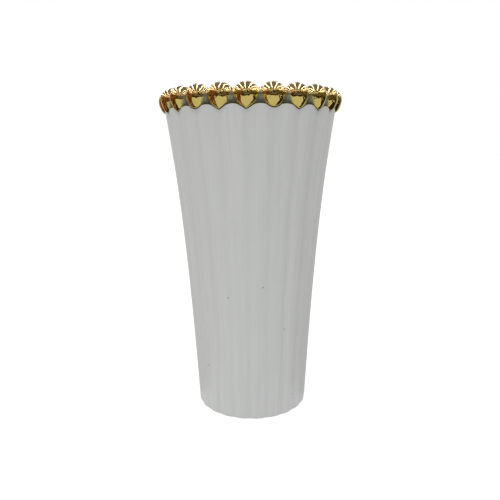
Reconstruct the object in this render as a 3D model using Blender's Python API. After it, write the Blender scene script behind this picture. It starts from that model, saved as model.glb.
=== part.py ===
"""Fluted porcelain vase: a flaring ribbed body, a scalloped lip and a ring of gilt beads.

Metres, +Z up. The origin is the middle of the foot, on the surface the vase stands on.
A valley between two ribs faces -Y, and so does the first bead.
"""

import math

import bmesh
import bpy
from mathutils import Matrix

# Driving dimensions
HEIGHT = 0.300              # foot to the tops of the beads
RIB_COUNT = 22              # ribs round the body, and beads round the lip
FOOT_RADIUS = 0.0534        # over the ribs, at the foot
FLARE = 0.0168              # straight part of the widening, over the whole height
BELL = 0.0112               # extra widening that comes in towards the lip, over the whole height
LIP_RIB_DEPTH = 0.0015      # from a rib's crown down to the valley beside it, at the lip
NOTCH_HEIGHT = 0.2771       # lip at a valley
SCALLOP_RISE = 0.0052       # from there up to the top of a scallop
BEAD_RING_RADIUS = 0.0734   # axis to the middle of a bead
WALL = 0.0050               # behind the valleys
LIP_WALL = 0.0068           # the same at the lip, where it carries the beads
FLOOR_TOP = 0.0090          # inside floor
FLOOR_CORNER = 0.0180       # rounding between the inside floor and the wall
FOOT_RING_WIDTH = 0.0070
FOOT_RECESS = 0.0030        # height of the hollow inside the foot ring
EDGE_ROUNDING = 0.0012      # at the foot and along the lip
GAP = 0.0003                # between pieces that touch

# Fineness of the facets
STEPS_PER_RIB = 8
OUTSIDE_BANDS = 6
LIP_BANDS = 3
CORNER_BANDS = 3
BEAD_SEGMENTS = 16
BEAD_RINGS = 10
SHARP_ANGLE = math.radians(35)

# What follows from them
PITCH = 2 * math.pi / RIB_COUNT
BEAD_RADIUS = BEAD_RING_RADIUS * math.sin(PITCH / 2) - GAP / 2
BEAD_HEIGHT = HEIGHT - BEAD_RADIUS
LIP_TOP = NOTCH_HEIGHT + SCALLOP_RISE
LIP_THICKENING_START = 0.8 * NOTCH_HEIGHT
MID_HEIGHT = HEIGHT / 2


def crown_radius(height):
    """Radius over the ribs: a cone that turns outwards like a bell."""
    share = height / HEIGHT
    return FOOT_RADIUS + FLARE * share + BELL * share ** 3


def rib_depth(height):
    """The ribs keep their proportions, so they are shallower where the body is slimmer."""
    return LIP_RIB_DEPTH * crown_radius(height) / crown_radius(LIP_TOP)


def bulge(angle):
    """Round swelling of a rib or scallop: 0 in the valley at either side, 1 along its middle."""
    across = (angle / PITCH) % 1.0
    return 1 - (2 * across - 1) ** 2


def rib_radius(angle, height):
    return crown_radius(height) - rib_depth(height) * (1 - bulge(angle))


def inner_radius(height):
    """Radius of the plain round inside, which the lip narrows a little."""
    share = (height - LIP_THICKENING_START) / (LIP_TOP - LIP_THICKENING_START)
    wall = WALL + (LIP_WALL - WALL) * max(share, 0) ** 2
    return crown_radius(height) - rib_depth(height) - wall


def lip_height(angle, radius):
    """Top of the lip: the scallops, cut down to a bead's seat where a bead sits in them."""
    scallop = NOTCH_HEIGHT + SCALLOP_RISE * bulge(angle)
    turn = angle - PITCH * round(angle / PITCH)
    to_bead = math.hypot(radius * math.cos(turn) - BEAD_RING_RADIUS, radius * math.sin(turn))
    seat_radius = BEAD_RADIUS + GAP
    if to_bead >= seat_radius:
        return scallop
    return min(scallop, BEAD_HEIGHT - math.sqrt(seat_radius ** 2 - to_bead ** 2))


def rib_angles():
    """Angles round the axis, from the valley that faces -Y."""
    count = RIB_COUNT * STEPS_PER_RIB
    return [PITCH * step / STEPS_PER_RIB for step in range(count)]


def point(angle, radius, height):
    return (radius * math.sin(angle), -radius * math.cos(angle), height)


def ring(radius_at, height_at):
    """Points once round the axis, with the radius and the height given as functions of the angle."""
    return [point(angle, radius_at(angle), height_at(angle)) for angle in rib_angles()]


def round_ring(radius, height):
    return ring(lambda angle: radius, lambda angle: height)


def ribbed_ring(height, inset=0.0):
    return ring(lambda angle: rib_radius(angle, height) - inset, lambda angle: height)


def lip_ring(share):
    """A ring along the top of the lip, share 0 at its outer edge and 1 at its inner edge."""
    def radius_at(angle):
        outer = rib_radius(angle, LIP_TOP) - EDGE_ROUNDING
        inner = inner_radius(LIP_TOP) + EDGE_ROUNDING
        return outer + (inner - outer) * share

    return ring(radius_at, lambda angle: lip_height(angle, radius_at(angle)))


def below_lip_ring(radius_at):
    """A ring on the wall, just under the rounded edge of the lip."""
    return ring(radius_at, lambda angle: lip_height(angle, radius_at(angle)) - EDGE_ROUNDING)


def underside_rings():
    inner_edge = FOOT_RADIUS - rib_depth(0) - FOOT_RING_WIDTH
    return [
        round_ring(inner_edge - FOOT_RECESS, FOOT_RECESS),
        round_ring(inner_edge, 0),
        ribbed_ring(0, inset=EDGE_ROUNDING),
    ]


def outside_rings():
    levels = [NOTCH_HEIGHT * band / OUTSIDE_BANDS for band in range(1, OUTSIDE_BANDS)]
    top_level = NOTCH_HEIGHT - 2 * EDGE_ROUNDING
    rings = [ribbed_ring(height) for height in (EDGE_ROUNDING, *levels, top_level)]
    rings.append(below_lip_ring(lambda angle: rib_radius(angle, LIP_TOP)))
    return rings


def inside_rings():
    """The inside wall from the lip down, with a rounded corner at the floor."""
    lip_middle = (NOTCH_HEIGHT + LIP_THICKENING_START) / 2
    levels = (lip_middle, LIP_THICKENING_START, MID_HEIGHT, FLOOR_TOP + FLOOR_CORNER)
    rings = [below_lip_ring(lambda angle: inner_radius(LIP_TOP))]
    rings += [round_ring(inner_radius(height), height) for height in levels]
    for band in range(1, CORNER_BANDS + 1):
        turn = math.pi / 2 * band / CORNER_BANDS
        height = FLOOR_TOP + FLOOR_CORNER * (1 - math.sin(turn))
        rings.append(round_ring(inner_radius(height) - FLOOR_CORNER * (1 - math.cos(turn)), height))
    return rings


def glazed_material(name, colour, roughness, metallic):
    material = bpy.data.materials.new(name)
    material.use_nodes = True
    shader = material.node_tree.nodes["Principled BSDF"]
    shader.inputs["Base Color"].default_value = (*colour, 1)
    shader.inputs["Roughness"].default_value = roughness
    shader.inputs["Metallic"].default_value = metallic
    return material


def add_object(name, mesh):
    shape = bpy.data.objects.new(name, mesh)
    bpy.context.scene.collection.objects.link(shape)
    return shape


def mesh_from(name, shape_mesh, material):
    mesh = bpy.data.meshes.new(name)
    shape_mesh.to_mesh(mesh)
    shape_mesh.free()
    mesh.materials.append(material)
    mesh.shade_smooth()
    return mesh


def add_body():
    """The shell, skinned ring by ring from under the foot, up the outside, and down to the floor."""
    rings = underside_rings() + outside_rings()
    rings += [lip_ring(band / LIP_BANDS) for band in range(LIP_BANDS + 1)]
    rings += inside_rings()
    shell = bmesh.new()
    loops = [[shell.verts.new(place) for place in places] for places in rings]
    for lower, upper in zip(loops, loops[1:]):
        for step in range(len(lower)):
            following = (step + 1) % len(lower)
            shell.faces.new((lower[step], lower[following], upper[following], upper[step]))
    shell.faces.new(reversed(loops[0]))
    shell.faces.new(loops[-1])
    bmesh.ops.triangulate(shell, faces=shell.faces)
    glaze = glazed_material("porcelain_glaze", (0.80, 0.81, 0.79), roughness=0.2, metallic=0)
    mesh = mesh_from("vase_body", shell, glaze)
    mesh.set_sharp_from_angle(angle=SHARP_ANGLE)
    add_object("vase_body", mesh)


def add_beads():
    """The ring of beads: one ball, set into each notch of the lip."""
    ball = bmesh.new()
    bmesh.ops.create_uvsphere(
        ball, u_segments=BEAD_SEGMENTS, v_segments=BEAD_RINGS, radius=BEAD_RADIUS
    )
    lustre = glazed_material("gold_lustre", (0.62, 0.42, 0.16), roughness=0.08, metallic=1)
    mesh = mesh_from("rim_bead", ball, lustre)
    for number in range(RIB_COUNT):
        bead = add_object(f"rim_bead_{number + 1:02d}", mesh)
        angle = PITCH * number
        bead.matrix_world = (
            Matrix.Translation(point(angle, BEAD_RING_RADIUS, BEAD_HEIGHT))
            @ Matrix.Rotation(angle, 4, "Z")
        )


def clear_scene():
    for item in list(bpy.data.objects):
        bpy.data.objects.remove(item, do_unlink=True)


clear_scene()
add_body()
add_beads()
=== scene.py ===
"""Looks of the fluted porcelain vase: fine meshes, glaze, gold lustre, studio and camera.

Metres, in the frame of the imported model: +Z up, the foot's middle at the origin, the first bead at -Y.
"""

import math

import bpy
import numpy as np
from mathutils import Matrix, Vector


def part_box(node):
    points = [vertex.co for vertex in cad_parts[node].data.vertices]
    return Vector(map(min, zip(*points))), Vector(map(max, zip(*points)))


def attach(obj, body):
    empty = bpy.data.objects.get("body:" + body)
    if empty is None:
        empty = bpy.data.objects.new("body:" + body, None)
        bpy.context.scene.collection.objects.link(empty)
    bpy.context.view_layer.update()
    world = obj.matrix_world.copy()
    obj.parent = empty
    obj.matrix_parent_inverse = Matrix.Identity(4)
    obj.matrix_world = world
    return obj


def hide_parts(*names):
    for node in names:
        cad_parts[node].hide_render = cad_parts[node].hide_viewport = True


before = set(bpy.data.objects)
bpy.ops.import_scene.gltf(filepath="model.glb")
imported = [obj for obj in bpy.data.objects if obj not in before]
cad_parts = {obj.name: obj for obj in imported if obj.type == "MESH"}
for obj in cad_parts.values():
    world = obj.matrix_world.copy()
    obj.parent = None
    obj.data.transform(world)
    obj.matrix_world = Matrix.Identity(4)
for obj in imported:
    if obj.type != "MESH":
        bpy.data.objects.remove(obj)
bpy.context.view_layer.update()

# Sizes read from the frame
BEAD_NODES = sorted(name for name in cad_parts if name.startswith("rim_bead_"))
RIB_COUNT = len(BEAD_NODES)
PITCH = 2 * math.pi / RIB_COUNT
FIRST_BEAD_LOW, FIRST_BEAD_HIGH = (Vector(corner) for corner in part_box(BEAD_NODES[0]))
BEAD_HEIGHT = (FIRST_BEAD_LOW.z + FIRST_BEAD_HIGH.z) / 2
BEAD_RING_RADIUS = -(FIRST_BEAD_LOW.y + FIRST_BEAD_HIGH.y) / 2
HEIGHT = FIRST_BEAD_HIGH.z
LIP_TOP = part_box("vase_body")[1][2]

# Body, as in the CAD
FOOT_RADIUS = 0.0534
FLARE = 0.0168
BELL = 0.0112
LIP_RIB_DEPTH = 0.0015
SCALLOP_RISE = 0.0052
NOTCH_HEIGHT = LIP_TOP - SCALLOP_RISE
WALL = 0.0050
LIP_WALL = 0.0068
LIP_THICKENING_START = 0.8 * NOTCH_HEIGHT
FLOOR_TOP = 0.0090
FLOOR_CORNER = 0.0180
FOOT_RING_WIDTH = 0.0070
FOOT_RECESS = 0.0030
EDGE_ROUNDING = 0.0012

# What the glaze and the gilding add
VALLEY_SOFTENING = 0.24         # share of a half rib that glaze fills and rounds at a valley
NOTCH_SOFTENING = 0.05          # the same, where the lip's edge dips into a notch
HAND_WOBBLE = 0.00012           # unevenness of the cast wall, taken off the radius
MEAN_NOTCH = 0.78               # depth of the hand-cut notches, as a share of the scallops' rise
NOTCH_SPREAD = 0.22             # of that depth, either way
NOTCH_WAVES = 7                 # in that depth, once round the lip
BEAD_RADIUS = 0.989 * (FIRST_BEAD_HIGH.z - FIRST_BEAD_LOW.z) / 2
PRESSED = 0.93                  # share of a bead's height that is left above its middle, once it is set
NECK_RADIUS = 0.0054            # gilt neck that joins a bead to the next
NECK_START = 0.45               # where a bead's underside begins to turn into a neck's, in bead radii
NECK_FULL = 0.70                # where it has done so
BEDDING = 0.0002                # of a neck's underside into the scallop beneath it
KEEL_ROUNDING = 0.0008          # of the pointed underside of a bead
POINT_FADE = 5                  # how soon that point fades into the ball, higher up
LEAN = 0.0030                   # of a bead's underside outwards, to the mouth of the notch
LEAN_FADE = 4
SEAT_CLEARANCE = 0.00008

# Fineness of the meshes
STEPS_PER_RIB = 28
OUTSIDE_RINGS = 64
LIP_RINGS = 12
INSIDE_RINGS = 40
EDGE_RINGS = 6                  # over a rounded edge
FOOT_INNER_RINGS = 5
CORNER_RINGS = 10
RECESS_SHARES = (0.02, 0.35, 0.7, 0.9)   # radii of the rings across the recess, as shares of its own
FLOOR_SHARES = (0.7, 0.35, 0.02)
BEAD_SECTIONS = 44
BEAD_SIDES = 72
SLOPE_STEP = 1e-5               # turn over which a bead's slope is measured
SEAT_STEPS = 8                  # rounds in which a seat's depth settles

# Order of the body's materials
GLAZE, BISCUIT, LUSTRE = range(3)


def crown_radius(height):
    """Radius over the ribs: a cone that turns outwards like a bell."""
    share = height / HEIGHT
    return FOOT_RADIUS + FLARE * share + BELL * share ** 3


def rib_depth(height):
    """The ribs keep their proportions, so they are shallower where the body is slimmer."""
    return LIP_RIB_DEPTH * crown_radius(height) / crown_radius(LIP_TOP)


def bulge(angle, softening):
    """Round swelling of a rib: about 0 in the valleys beside it, 1 along its middle."""
    across = np.mod(angle / PITCH, 1.0)
    from_valley = 1 - np.abs(2 * across - 1)
    arch = 1 - (1 - from_valley) ** 2
    rounded = softening + (1 - softening) / softening * from_valley ** 2
    return np.where(from_valley < softening, rounded, arch)


def wobble(angle, height):
    """Slow unevenness of a cast wall, from 0 to 1: two waves that wind round it."""
    turns = np.sin(3 * angle + 9 * height) + np.sin(2 * angle - 14 * height + 1.3)
    return 0.5 + turns / 4


def rib_radius(angle, height):
    hollow = rib_depth(height) * (1 - bulge(angle, VALLEY_SOFTENING))
    return crown_radius(height) - hollow - HAND_WOBBLE * wobble(angle, height)


def inner_radius(height):
    """Radius of the plain round inside, which the lip narrows a little."""
    share = (height - LIP_THICKENING_START) / (LIP_TOP - LIP_THICKENING_START)
    wall = WALL + (LIP_WALL - WALL) * np.maximum(share, 0) ** 2
    return crown_radius(height) - rib_depth(height) - wall


def chain_section(offset):
    """Radius of the bead chain, at a sideways offset from a bead's middle.

    It follows a ball out to the tangent point, and then a fillet down to the neck.
    """
    half_spacing = BEAD_RING_RADIUS * math.sin(PITCH / 2)
    fillet = half_spacing ** 2 + NECK_RADIUS ** 2 - BEAD_RADIUS ** 2
    fillet /= 2 * (BEAD_RADIUS - NECK_RADIUS)
    tangent = half_spacing * BEAD_RADIUS / (BEAD_RADIUS + fillet)
    side = np.minimum(np.abs(offset), half_spacing)
    ball = np.sqrt(np.maximum(BEAD_RADIUS ** 2 - side ** 2, 0))
    hollow = NECK_RADIUS + fillet - np.sqrt(np.maximum(fillet ** 2 - (half_spacing - side) ** 2, 0))
    return np.where(side < tangent, ball, hollow)


def notch_depth(number):
    """Depth of a bead's notch below the tops of the scallops: cut by hand, so no two are alike."""
    turn = PITCH * (number + 0.5)
    share = MEAN_NOTCH + NOTCH_SPREAD * np.cos(NOTCH_WAVES * turn) * np.cos(turn)
    return SCALLOP_RISE * share


def scallop_height(turn, number):
    """Edge of the lip beside a bead, before the bead chain is bedded in it."""
    return LIP_TOP - notch_depth(number) * (1 - bulge(turn, NOTCH_SOFTENING))


def underside(offset, number):
    """The chain's underside at a sideways offset: its extra depth, as a share, and its lean outwards.

    A bead is drawn down to a point in its notch, and a neck reaches down to the scallop beneath it.
    """
    across = np.abs(offset) / BEAD_RADIUS
    to_notch = BEAD_HEIGHT - LIP_TOP + notch_depth(number)
    drop = np.maximum(to_notch / BEAD_RADIUS - 1, 0)
    point = np.maximum(1 - 2 * np.hypot(across, KEEL_ROUNDING / BEAD_RADIUS), 0) ** 2
    edge = scallop_height(np.arcsin(offset / BEAD_RING_RADIUS), number)
    reach = np.maximum((BEAD_HEIGHT - edge + BEDDING) / chain_section(offset) - 1, 0)
    near_neck = np.clip((across - NECK_START) / (NECK_FULL - NECK_START), 0, 1)
    eased = near_neck ** 2 * (3 - 2 * near_neck)
    middle = np.maximum(1 - across ** 2, 0) ** 2
    return drop * point + reach * eased, LEAN * middle


def lip_height(angle, radius):
    """Top of the lip: the scallops, cut down to a seat where the bead chain is bedded in them.

    The chain's underside leans outwards as it deepens, so a seat's depth is found in rounds.
    """
    number = np.round(angle / PITCH)
    scallop = scallop_height(angle, number)
    turn = angle - PITCH * number
    offset = BEAD_RING_RADIUS * np.sin(turn)
    section = chain_section(offset) + SEAT_CLEARANCE
    deepening, lean = underside(offset, number)
    across = radius - BEAD_RING_RADIUS * np.cos(turn)
    depth_share = np.ones_like(across)
    for _ in range(SEAT_STEPS):
        depth_share = np.clip(1 - ((across - lean * depth_share ** 2) / section) ** 2, 0, 1)
    seat = BEAD_HEIGHT - section * (1 + deepening) * np.sqrt(depth_share)
    return np.where(depth_share > 0, np.minimum(scallop, seat), scallop)


def add_piece(name, points, faces, materials):
    """A smooth mesh object from an array of points."""
    mesh = bpy.data.meshes.new(name)
    mesh.from_pydata(points.tolist(), [], faces)
    for material in materials:
        mesh.materials.append(material)
    mesh.shade_smooth()
    piece = bpy.data.objects.new(name, mesh)
    bpy.context.scene.collection.objects.link(piece)
    return piece


def skin(rows, columns):
    """Quads over a grid of points that runs row by row, each row closed on itself."""
    faces = []
    for row in range(rows - 1):
        for column in range(columns):
            following = (column + 1) % columns
            here, above = row * columns, (row + 1) * columns
            faces.append((here + column, here + following, above + following, above + column))
    return faces


def quarter_turn(count):
    """Angles over a quarter turn, for the rings of a rounded edge."""
    return np.linspace(0, math.pi / 2, count)


# Body: its rings are given as stations, each an array of radii and one of heights

def foot_stations(angles):
    """Rings from the middle of the underside, down to the foot ring, and round its outer edge."""
    recess_edge = FOOT_RADIUS - rib_depth(0) - FOOT_RING_WIDTH
    rounding = FOOT_RECESS / 2
    level = np.zeros_like(angles)
    rings = [(level + recess_edge * share, level + FOOT_RECESS) for share in RECESS_SHARES]
    for turn in quarter_turn(EDGE_RINGS):
        rings.append((
            recess_edge - rounding * (1 - math.sin(turn)) + level,
            rounding * (1 + math.cos(turn)) + level,
        ))
    for turn in quarter_turn(FOOT_INNER_RINGS):
        rings.append((
            recess_edge + EDGE_ROUNDING * (1 - math.cos(turn)) + level,
            EDGE_ROUNDING * (1 - math.sin(turn)) + level,
        ))
    for turn in quarter_turn(EDGE_RINGS):
        height = EDGE_ROUNDING * (1 - math.cos(turn))
        rings.append((
            rib_radius(angles, height) - EDGE_ROUNDING * (1 - math.sin(turn)),
            height + level,
        ))
    return rings


def lip_edge_height(angles, radius):
    return lip_height(angles, radius) - EDGE_ROUNDING


def outside_stations(angles):
    """The ribbed outside, whose rings take on the scallops as they near the lip."""
    edge = lip_edge_height(angles, rib_radius(angles, LIP_TOP) - EDGE_ROUNDING)
    rings = []
    for share in np.linspace(0, 1, OUTSIDE_RINGS)[1:]:
        height = EDGE_ROUNDING + (edge - EDGE_ROUNDING) * share
        rings.append((rib_radius(angles, height), height))
    return rings


def lip_stations(angles):
    """Over the lip: a rounded outer edge, the scalloped top with its seats, a rounded inner edge."""
    outer = rib_radius(angles, LIP_TOP)
    inner = inner_radius(LIP_TOP) + np.zeros_like(angles)
    rings = []
    for turn in quarter_turn(EDGE_RINGS)[1:]:
        radius = outer - EDGE_ROUNDING * (1 - math.cos(turn))
        top = lip_height(angles, outer - EDGE_ROUNDING)
        rings.append((radius, top - EDGE_ROUNDING * (1 - math.sin(turn))))
    for share in np.linspace(0, 1, LIP_RINGS)[1:]:
        radius = outer - EDGE_ROUNDING + (inner - outer + 2 * EDGE_ROUNDING) * share
        rings.append((radius, lip_height(angles, radius)))
    for turn in quarter_turn(EDGE_RINGS)[1:]:
        radius = inner + EDGE_ROUNDING * (1 - math.sin(turn))
        top = lip_height(angles, inner + EDGE_ROUNDING)
        rings.append((radius, top - EDGE_ROUNDING * (1 - math.cos(turn))))
    return rings


def inside_stations(angles):
    """The plain inside wall down to the rounded corner and the floor."""
    level = np.zeros_like(angles)
    edge = lip_edge_height(angles, inner_radius(LIP_TOP) + EDGE_ROUNDING)
    corner_top = FLOOR_TOP + FLOOR_CORNER
    rings = []
    for share in np.linspace(0, 1, INSIDE_RINGS)[1:]:
        height = edge + (corner_top - edge) * share
        rings.append((inner_radius(height), height))
    for turn in quarter_turn(CORNER_RINGS)[1:]:
        height = FLOOR_TOP + FLOOR_CORNER * (1 - math.sin(turn))
        radius = inner_radius(height) - FLOOR_CORNER * (1 - math.cos(turn))
        rings.append((radius + level, height + level))
    rings += [(radius * share + level, FLOOR_TOP + level) for share in FLOOR_SHARES]
    return rings


def build_body(materials):
    """The body in one closed skin, which also holds how near each point of its outside is to a valley."""
    count = RIB_COUNT * STEPS_PER_RIB
    angles = np.arange(count) * (2 * math.pi / count)
    outside = foot_stations(angles) + outside_stations(angles)
    inside = lip_stations(angles) + inside_stations(angles)
    stations = outside + inside
    points = np.concatenate([
        np.stack([radius * np.sin(angles), -radius * np.cos(angles), height], axis=1)
        for radius, height in stations
    ])
    faces = skin(len(stations), count)
    last = (len(stations) - 1) * count
    faces.append(tuple(reversed(range(count))))
    faces.append(tuple(range(last, last + count)))
    body = add_piece("porcelain_body", points, faces, materials)
    valley = body.data.attributes.new("valley", "FLOAT", "POINT")
    ribbed = np.tile(1 - bulge(angles, VALLEY_SOFTENING), len(outside))
    plain = np.zeros(len(inside) * count)
    valley.data.foreach_set("value", np.concatenate([ribbed, plain]))
    return body


def give_body_materials(body):
    """Bare biscuit where the foot ring stands, lustre along the top of the lip, and glaze elsewhere."""
    for face in body.data.polygons:
        faces_down = face.normal.z < -0.9
        faces_up = face.normal.z > 0.5
        face.material_index = GLAZE
        if faces_down and face.center.z < EDGE_ROUNDING / 2:
            face.material_index = BISCUIT
        if faces_up and face.center.z > NOTCH_HEIGHT - EDGE_ROUNDING:
            face.material_index = LUSTRE


# Beads

def chain_surface(turn, side, number):
    """Points of the bead chain: turn runs round the vase from a bead's middle, side round the chain."""
    offset = BEAD_RING_RADIUS * np.sin(turn)
    radius = chain_section(offset)
    deepening, lean = underside(offset, number)
    down = np.maximum(-np.sin(side), 0)
    up = np.maximum(np.sin(side), 0)
    outwards = BEAD_RING_RADIUS * np.cos(turn) + radius * np.cos(side) + lean * down ** LEAN_FADE
    return np.stack([
        outwards * np.sin(turn),
        -outwards * np.cos(turn),
        BEAD_HEIGHT + radius * (PRESSED * up - down - deepening * down ** POINT_FADE),
    ], axis=-1)


def bead_grid(number):
    """A bead with half a neck on either side, its normals, and how near each point is to a neck."""
    turn, side = np.meshgrid(
        np.linspace(-PITCH / 2, PITCH / 2, BEAD_SECTIONS),
        np.arange(BEAD_SIDES) * (2 * math.pi / BEAD_SIDES),
        indexing="ij",
    )
    points = chain_surface(turn, side, number)
    step = SLOPE_STEP
    along = chain_surface(turn + step, side, number) - chain_surface(turn - step, side, number)
    around = chain_surface(turn, side + step, number) - chain_surface(turn, side - step, number)
    normals = np.cross(along, around)
    normals /= np.linalg.norm(normals, axis=-1, keepdims=True)
    nearness = np.abs(turn) / (PITCH / 2)
    return points.reshape(-1, 3), normals.reshape(-1, 3), nearness.reshape(-1)


def build_bead(name, number, materials):
    """One bead in its place on the lip, closed at either end where the next one's neck begins."""
    points, normals, nearness = bead_grid(number)
    turned = np.array(Matrix.Rotation(PITCH * number, 3, "Z"))
    last = (BEAD_SECTIONS - 1) * BEAD_SIDES
    faces = [tuple(reversed(face)) for face in skin(BEAD_SECTIONS, BEAD_SIDES)]
    faces.append(tuple(range(BEAD_SIDES)))
    faces.append(tuple(reversed(range(last, last + BEAD_SIDES))))
    bead = add_piece(name, points @ turned.T, faces, materials)
    bead.data.normals_split_custom_set_from_vertices((normals @ turned.T).tolist())
    neck = bead.data.attributes.new("neck", "FLOAT", "POINT")
    neck.data.foreach_set("value", nearness)
    return bead


# Materials

class Nodes:
    """Short calls for building one node tree."""

    def __init__(self, tree):
        self.tree = tree

    def add(self, kind, inputs=None, **settings):
        node = self.tree.nodes.new(kind)
        for key, value in settings.items():
            setattr(node, key, value)
        for key, value in (inputs or {}).items():
            if isinstance(value, bpy.types.NodeSocket):
                self.tree.links.new(value, node.inputs[key])
            else:
                node.inputs[key].default_value = value
        return node

    def noise(self, vector, scale, detail=3.0):
        inputs = {"Vector": vector, "Scale": scale, "Detail": detail}
        return self.add("ShaderNodeTexNoise", inputs).outputs["Fac"]

    def stretched(self, vector, scale):
        return self.add("ShaderNodeMapping", {"Vector": vector, "Scale": scale}).outputs["Vector"]

    def along_wall(self, place):
        """Coordinates round and up a vase, in which a pattern runs long streaks down the wall."""
        flat = self.add("ShaderNodeVectorMath", {0: place, 1: (1, 1, 0)}, operation="MULTIPLY")
        turn = self.add("ShaderNodeVectorMath", {0: flat.outputs["Vector"]}, operation="NORMALIZE")
        height = self.stretched(place, (0, 0, 0.7))
        both = self.add("ShaderNodeVectorMath", {0: turn.outputs["Vector"], 1: height}, operation="ADD")
        return both.outputs["Vector"]

    def between(self, value, low, high, to_low=0.0, to_high=1.0):
        inputs = {"Value": value, "From Min": low, "From Max": high, "To Min": to_low, "To Max": to_high}
        return self.add("ShaderNodeMapRange", inputs).outputs["Result"]

    def mix(self, amount, first, second):
        """A blend of two colours, each given as three numbers or as a socket."""
        node = self.add("ShaderNodeMix", data_type="RGBA")
        self.tree.links.new(amount, node.inputs["Factor"])
        for key, colour in (("A", first), ("B", second)):
            socket = next(s for s in node.inputs if s.name == key and s.type == "RGBA")
            if isinstance(colour, bpy.types.NodeSocket):
                self.tree.links.new(colour, socket)
            else:
                socket.default_value = (*colour, 1)
        return next(s for s in node.outputs if s.type == "RGBA")

    def calculate(self, operation, first, second):
        node = self.add("ShaderNodeMath", {0: first, 1: second}, operation=operation)
        return node.outputs["Value"]

    def bump(self, height, strength, distance, normal=None):
        inputs = {"Height": height, "Strength": strength, "Distance": distance}
        if normal is not None:
            inputs["Normal"] = normal
        return self.add("ShaderNodeBump", inputs).outputs["Normal"]


def new_material(name):
    """A material with its node helper, its shader, and the object's own coordinates in metres."""
    material = bpy.data.materials.new(name)
    material.use_nodes = True
    nodes = Nodes(material.node_tree)
    shader = material.node_tree.nodes["Principled BSDF"]
    place = nodes.add("ShaderNodeTexCoord").outputs["Object"]
    return material, nodes, shader, place


def connect(nodes, shader, **sockets):
    """Link sockets to the shader's inputs, whose names are given with _ for a space."""
    for name, socket in sockets.items():
        nodes.tree.links.new(socket, shader.inputs[name.replace("_", " ")])


def porcelain_material():
    """White glazed porcelain: cloudy, a little darker where glaze pools in the valleys, with pinholes."""
    material, nodes, shader, place = new_material("porcelain_glaze")
    along_ribs = nodes.along_wall(place)
    valley = nodes.add("ShaderNodeAttribute", attribute_name="valley").outputs["Fac"]
    cloud = nodes.noise(place, 14.0)
    streak = nodes.noise(along_ribs, 6.0)
    hair = nodes.noise(along_ribs, 34.0)
    colour = nodes.mix(cloud, (0.81, 0.83, 0.805), (0.825, 0.825, 0.82))
    colour = nodes.mix(nodes.between(streak, 0.40, 0.62, 0, 0.7), colour, (0.775, 0.79, 0.775))
    colour = nodes.mix(nodes.between(hair, 0.46, 0.66, 0, 0.7), colour, (0.75, 0.765, 0.755))
    in_valley = nodes.between(valley, 0.25, 0.95)
    pooled = nodes.calculate("MULTIPLY", in_valley, nodes.between(cloud, 0.3, 0.6, 0.3, 0.8))
    colour = nodes.mix(pooled, colour, (0.74, 0.76, 0.745))
    cells = nodes.add("ShaderNodeTexVoronoi", {"Vector": place, "Scale": 48.0, "Randomness": 1.0})
    pinhole = nodes.between(cells.outputs["Distance"], 0.022, 0.036, 1, 0)
    colour = nodes.mix(pinhole, colour, (0.28, 0.27, 0.23))
    ripple = nodes.noise(place, 90.0, 2.0)
    normal = nodes.bump(ripple, 0.25, 0.0004)
    normal = nodes.bump(pinhole, 0.4, -0.0003, normal)
    roughness = nodes.between(nodes.noise(place, 60.0), 0.3, 0.7, 0.34, 0.46)
    connect(nodes, shader, Base_Color=colour, Roughness=roughness, Normal=normal)
    shader.inputs["Coat Weight"].default_value = 0.15
    shader.inputs["Coat Roughness"].default_value = 0.22
    return material


def bare_foot_material():
    """Unglazed biscuit under the foot ring: dry, faintly cream, and grey where it has stood."""
    material, nodes, shader, place = new_material("biscuit_foot")
    stain = nodes.between(nodes.noise(place, 110.0, 6.0), 0.45, 0.7)
    colour = nodes.mix(stain, (0.70, 0.67, 0.60), (0.47, 0.44, 0.39))
    roughness = nodes.between(stain, 0, 1, 0.75, 0.9)
    normal = nodes.bump(nodes.noise(place, 1800.0, 4.0), 0.5, 0.0002)
    connect(nodes, shader, Base_Color=colour, Roughness=roughness, Normal=normal)
    return material


def gold_material():
    """Mirror-bright gold lustre: rippled, rubbed in spots, and on the necks thin and grey-green, darkened
    there with painted shade.

    The thin part widens downwards, as the gap between two balls does; its dark grey-green is thin lustre
    together with painted shade, the shade that falls between the beads.
    """
    material, nodes, shader, place = new_material("gold_lustre")
    tone = nodes.mix(nodes.noise(place, 60.0), (0.82, 0.66, 0.21), (0.76, 0.60, 0.18))
    neck = nodes.add("ShaderNodeAttribute", attribute_name="neck").outputs["Fac"]
    height = nodes.add("ShaderNodeSeparateXYZ", {"Vector": place}).outputs["Z"]
    below = nodes.calculate("MULTIPLY", nodes.calculate("SUBTRACT", BEAD_HEIGHT, height), 40.0)
    # Painted shade: a mask for the gap between two beads, widening downwards, where the colour is darkened
    # for the shade that falls there
    painted_shade_gap = nodes.between(nodes.calculate("ADD", neck, below), 0.82, 0.95)
    patch = nodes.noise(place, 120.0, 4.0)
    thin_lustre_and_painted_shade = nodes.calculate("MULTIPLY", painted_shade_gap, nodes.between(patch, 0.25, 0.45, 0.6, 1.0))
    # Thin grey-green lustre, darkened as painted shade between the beads
    tone = nodes.mix(thin_lustre_and_painted_shade, tone, (0.22, 0.225, 0.165))
    rubbed = nodes.between(nodes.noise(place, 420.0, 5.0), 0.62, 0.72, 0, 0.5)
    tone = nodes.mix(rubbed, tone, (0.52, 0.33, 0.12))
    roughness = nodes.between(nodes.noise(place, 300.0, 4.0), 0.4, 0.75, 0.045, 0.16)
    normal = nodes.bump(nodes.noise(place, 170.0, 1.0), 0.45, 0.0012)
    normal = nodes.bump(nodes.noise(place, 600.0, 2.0), 0.14, 0.0003, normal)
    metallic = nodes.between(thin_lustre_and_painted_shade, 0, 1, 1.0, 0.25)
    connect(nodes, shader, Base_Color=tone, Roughness=roughness, Metallic=metallic, Normal=normal)
    return material


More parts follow.
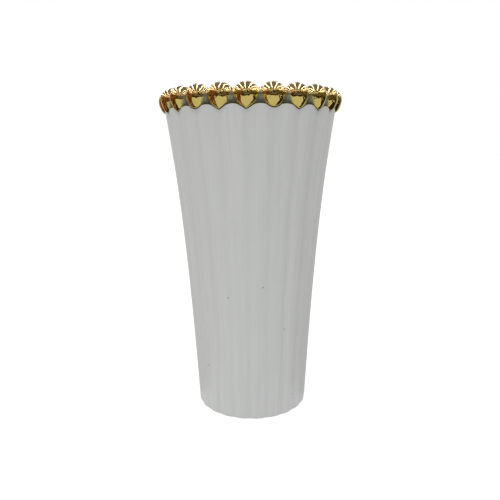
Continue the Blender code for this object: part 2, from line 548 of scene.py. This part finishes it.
def lip_lustre_material():
    """A thin, dry wash of lustre along the top of the lip, between the beads."""
    material, nodes, shader, place = new_material("lip_lustre")
    patch = nodes.noise(place, 260.0, 4.0)
    tone = nodes.mix(patch, (0.40, 0.38, 0.27), (0.55, 0.48, 0.30))
    roughness = nodes.between(patch, 0.3, 0.7, 0.5, 0.7)
    normal = nodes.bump(nodes.noise(place, 900.0), 0.2, 0.0002)
    connect(nodes, shader, Base_Color=tone, Roughness=roughness, Normal=normal)
    shader.inputs["Metallic"].default_value = 0.3
    return material


def studio_material(name, colour, strength):
    """Plain paper that glows a little, for the floor and the table."""
    material, nodes, shader, place = new_material(name)
    shade = tuple(0.98 * part for part in colour)
    paper = nodes.mix(nodes.noise(place, 3.0), colour, shade)
    connect(nodes, shader, Base_Color=paper)
    shader.inputs["Roughness"].default_value = 0.9
    shader.inputs["Emission Color"].default_value = (1, 1, 1, 1)
    shader.inputs["Emission Strength"].default_value = strength
    return material


# Studio

FLOOR_SIZE = 30.0
FLOOR_GLOW = 0.50
TABLE_CORNERS = (                # the white cloth the beads mirror, laid cornerwise under the vase
    (0, 0.05), (-0.16, -0.09), (-0.31, -0.20), (-0.87, -0.64), (0, -0.98),
    (0.85, -0.68), (0.56, -0.19), (0.31, -0.13), (0.12, -0.06),
)
SIDE_SHEET_CORNERS = (           # a strip of paper to the right of it
    (0.95, -0.70), (1.10, -0.72), (0.95, 0.05), (0.85, 0.05),
)
TABLE_GLOW = 0.64
STRIP_HEIGHT = 1.75              # of the ceiling tubes, over the beads
STRIP_COUNT = 8
STRIP_SPACING = 0.9
STRIP_SHIFT = 0.25               # of the whole row, to the right
STRIP_WIDTH = 0.10
STRIP_FRONT = 1.5                # how far the tubes reach forwards and back from the axis
STRIP_BACK = 3.5
STRIP_RADIANCE = 7.6
STRIP_COLOUR = (1.0, 0.88, 1.40)


def add_stage_plane(name, corners, material, seen_by):
    """A level stage piece on the ground, seen only by the given kinds of ray."""
    points = np.array([(x, y, 0) for x, y in corners])
    plane = add_piece(name, points, [tuple(range(len(corners)))], [material])
    for kind in ("camera", "diffuse", "glossy", "transmission", "shadow"):
        setattr(plane, f"visible_{kind}", kind in seen_by)


def add_strip_light(offset):
    """One long ceiling tube, running front to back."""
    light = bpy.data.lights.new("ceiling_strip", "AREA")
    light.shape = "RECTANGLE"
    light.size = STRIP_WIDTH
    light.size_y = STRIP_FRONT + STRIP_BACK
    light.energy = STRIP_RADIANCE * math.pi * light.size * light.size_y
    light.color = STRIP_COLOUR
    strip = bpy.data.objects.new("ceiling_strip", light)
    strip.location = (offset, (STRIP_BACK - STRIP_FRONT) / 2, BEAD_HEIGHT + STRIP_HEIGHT)
    strip.visible_camera = False
    strip.visible_diffuse = False
    bpy.context.scene.collection.objects.link(strip)


def mirrored_room(nodes, direction, side, back, up):
    """The dim room that the gold mirrors."""
    shelves = nodes.between(nodes.noise(direction, 9.0, 3.0), 0.50, 0.54)
    left_wall = nodes.mix(shelves, (0.31, 0.064, 0.032), (0.30, 0.22, 0.13))
    walls = nodes.mix(nodes.between(side, -0.50, -0.30), left_wall, (0.27, 0.245, 0.260))
    walls = nodes.mix(nodes.between(side, 0.35, 0.55), walls, (0.170, 0.140, 0.080))
    clutter = nodes.between(nodes.noise(direction, 6.0, 6.0), 0.48, 0.52)
    walls = nodes.mix(clutter, walls, (0.035, 0.022, 0.012))
    glints = nodes.between(nodes.noise(direction, 11.0, 2.0), 0.54, 0.57)
    high_glints = nodes.calculate("MULTIPLY", glints, nodes.between(up, 0.28, 0.38))
    walls = nodes.mix(high_glints, walls, (1.5, 1.3, 1.6))
    ceiling = nodes.between(up, 0.66, 0.74)
    room = nodes.mix(ceiling, walls, (0.20, 0.19, 0.32))
    ground = nodes.calculate("MULTIPLY", nodes.between(up, -0.13, -0.17), nodes.between(side, -0.70, -0.50))
    room = nodes.mix(ground, room, (0.03, 0.018, 0.010))
    backdrop = nodes.calculate("MULTIPLY", nodes.between(back, 0.45, 0.65), nodes.between(up, 0.55, 0.35))
    return nodes.mix(backdrop, room, (0.48, 0.48, 0.47))


def soft_light(nodes, side, up):
    """The light on rough surfaces: brighter from above, dimmer from the right."""
    soft = nodes.mix(nodes.between(up, -0.5, 0.5), (0.44, 0.44, 0.44), (0.98, 0.98, 0.98))
    return nodes.mix(nodes.between(side, -0.8, 1, 0, 0.6), soft, (0.48, 0.48, 0.48))


def build_world():
    """White for the camera, soft light for rough surfaces, and a room for the gold to mirror."""
    world = bpy.data.worlds.new("studio")
    bpy.context.scene.world = world
    world.use_nodes = True
    world.node_tree.nodes.clear()
    nodes = Nodes(world.node_tree)
    direction = nodes.add("ShaderNodeTexCoord").outputs["Generated"]
    split = nodes.add("ShaderNodeSeparateXYZ", {"Vector": direction}).outputs
    side, back, up = split["X"], split["Y"], split["Z"]
    room = mirrored_room(nodes, direction, side, back, up)
    soft = soft_light(nodes, side, up)
    rays = nodes.add("ShaderNodeLightPath").outputs
    seen = nodes.mix(rays["Is Glossy Ray"], soft, room)
    seen = nodes.mix(rays["Is Camera Ray"], seen, (1, 1, 1))
    background = nodes.add("ShaderNodeBackground", {"Color": seen, "Strength": 1.0})
    nodes.add("ShaderNodeOutputWorld", {"Surface": background.outputs["Background"]})


def build_studio():
    build_world()
    paper = studio_material("studio_floor", (0.9, 0.9, 0.9), FLOOR_GLOW)
    edge = FLOOR_SIZE / 2
    square = [(-edge, -edge), (edge, -edge), (edge, edge), (-edge, edge)]
    add_stage_plane("floor", square, paper, ("camera", "shadow"))
    sheet = studio_material("studio_table", (0, 0, 0), TABLE_GLOW)
    add_stage_plane("table", TABLE_CORNERS, sheet, ("glossy",))
    add_stage_plane("side_sheet", SIDE_SHEET_CORNERS, sheet, ("glossy",))
    for number in range(STRIP_COUNT):
        add_strip_light(STRIP_SHIFT + STRIP_SPACING * (number - (STRIP_COUNT - 1) / 2))


# Camera

CAMERA_DISTANCE = 0.487         # from the vase's axis, level
CAMERA_HEIGHT = 0.245
CAMERA_AZIMUTH = 2.3            # degrees round from -Y, towards +X
CAMERA_PITCH = 11.0             # degrees downwards
CAMERA_TURN = -0.14             # degrees off the axis
CAMERA_ROLL = -0.43
SENSOR_WIDTH = 36.0
FOCAL_SHARE = 1.014             # focal length over the picture's width


def build_camera():
    azimuth, pitch, turn, roll = (
        math.radians(value) for value in (CAMERA_AZIMUTH, CAMERA_PITCH, CAMERA_TURN, CAMERA_ROLL)
    )
    data = bpy.data.cameras.new("camera")
    data.sensor_width = SENSOR_WIDTH
    data.lens = FOCAL_SHARE * SENSOR_WIDTH
    data.clip_start = 0.01
    camera = bpy.data.objects.new("camera", data)
    bpy.context.scene.collection.objects.link(camera)
    camera.matrix_world = (
        Matrix.Rotation(azimuth, 4, "Z")
        @ Matrix.Translation((0, -CAMERA_DISTANCE, CAMERA_HEIGHT))
        @ Matrix.Rotation(-turn, 4, "Z")
        @ Matrix.Rotation(math.pi / 2 - pitch, 4, "X")
        @ Matrix.Rotation(roll, 4, "Z")
    )
    bpy.context.scene.camera = camera


def build_vase():
    body = build_body([porcelain_material(), bare_foot_material(), lip_lustre_material()])
    give_body_materials(body)
    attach(body, "root")
    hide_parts("vase_body")
    lustre = gold_material()
    for number, node in enumerate(BEAD_NODES):
        bead = build_bead(node.replace("rim", "gilt"), number, [lustre])
        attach(bead, "root")
        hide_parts(node)


build_vase()
build_studio()
build_camera()
bpy.context.scene.view_settings.view_transform = "Standard"
